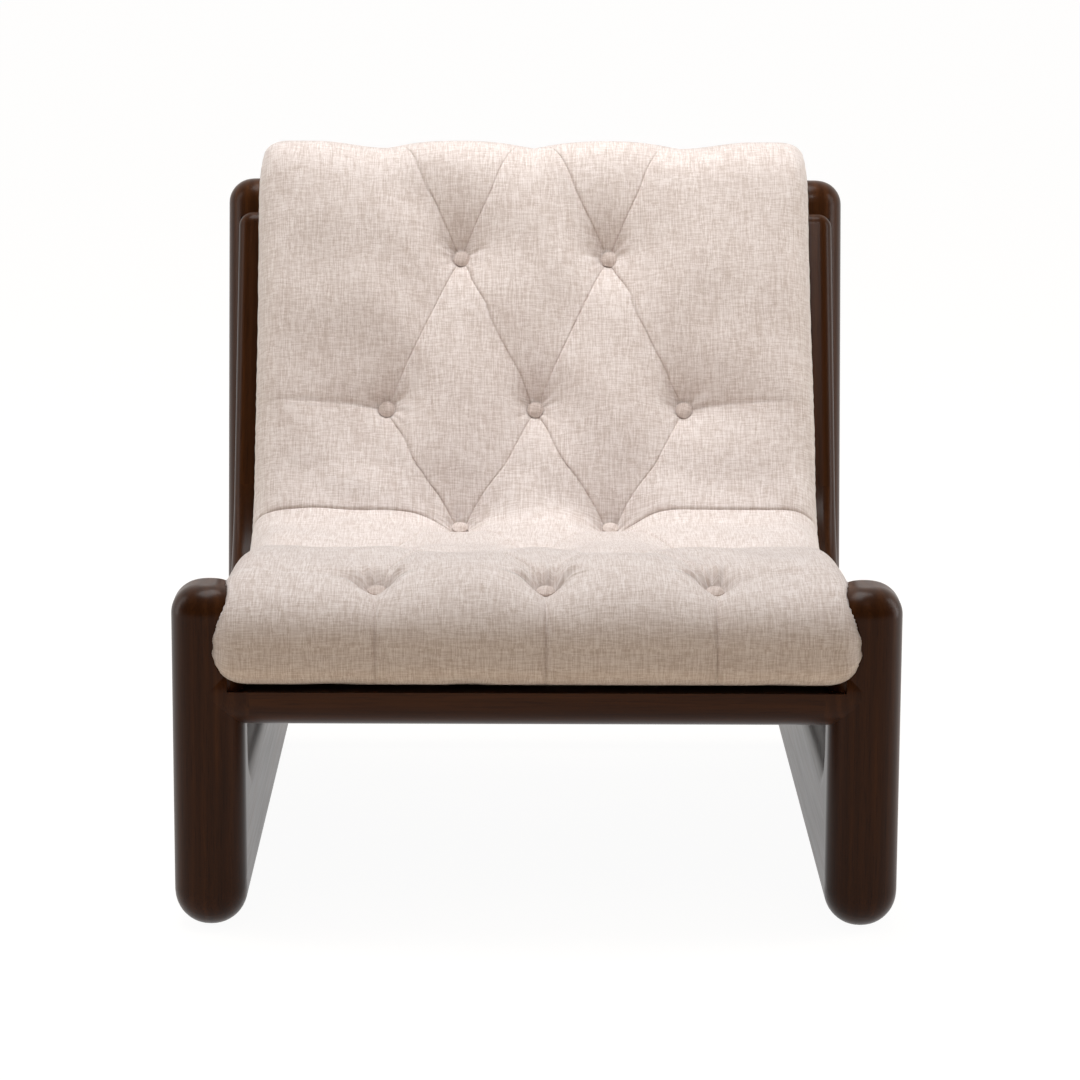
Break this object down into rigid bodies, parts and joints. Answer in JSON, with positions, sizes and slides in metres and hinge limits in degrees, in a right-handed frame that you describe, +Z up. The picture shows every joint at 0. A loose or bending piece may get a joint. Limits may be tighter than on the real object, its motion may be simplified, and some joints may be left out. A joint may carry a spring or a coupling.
{
  "type": "lounge chair",
  "caption": "Low armless lounge chair: bullnosed dark wood side frames carry a curved slatted seat and back frame under one long diamond-tufted pad.",
  "frame": {"origin": "centre of the bounding box on the floor", "axes": "+X across the chair, +Y from the front to the back, +Z up"},
  "size_m": [0.74, 0.9542, 0.7262],
  "materials": {
    "dark_wood": "dark walnut stain under a semi-gloss lacquer",
    "slat_wood": "dark stained slats, satin",
    "tenon_wood": "raw beech",
    "black_steel": "black oxide",
    "brass": "plain turned",
    "felt": "dense wool felt",
    "upholstery": "slubby velvet and linen look weave, pale pinkish beige",
    "button_cloth": "same cloth pulled tight over a shell",
    "foam": "open cell foam",
    "twine": "waxed nylon twine",
    "anchor_plastic": "moulded",
    "zip_cloth": "woven tape with a nylon coil",
    "zip_metal": "nickel"
  },
  "bodies": {
    "root": {"right_front_leg": "dark_wood", "left_front_leg": "dark_wood", "right_floor_runner": "dark_wood", "left_floor_runner": "dark_wood", "right_rear_post": "dark_wood", "left_rear_post": "dark_wood", "right_seat_rail": "dark_wood", "left_seat_rail": "dark_wood", "right_knee": "dark_wood", "left_knee": "dark_wood", "right_back_stile": "dark_wood", "left_back_stile": "dark_wood", "front_rail": "dark_wood", "rear_stretcher": "dark_wood", "knee_cross_rail": "dark_wood", "top_cross_rail": "dark_wood", "seat_slats": "slat_wood", "knee_slats": "slat_wood", "back_slats": "slat_wood", "side_frame_tenons": "tenon_wood", "inner_frame_tenons": "tenon_wood", "front_rail_tenons": "tenon_wood", "stretcher_tenons": "tenon_wood", "post_bolts": "black_steel", "runner_bolts": "black_steel", "bolt_washers": "black_steel", "threaded_inserts": "brass", "felt_pads": "felt", "cushion_cover": "upholstery", "tuft_buttons": "button_cloth", "seat_foam_core": "foam", "back_foam_core": "foam", "tuft_twines": "twine", "tuft_anchors": "anchor_plastic", "zip_tape": "zip_cloth", "zip_slider": "zip_metal"}
  },
  "joints": []
}
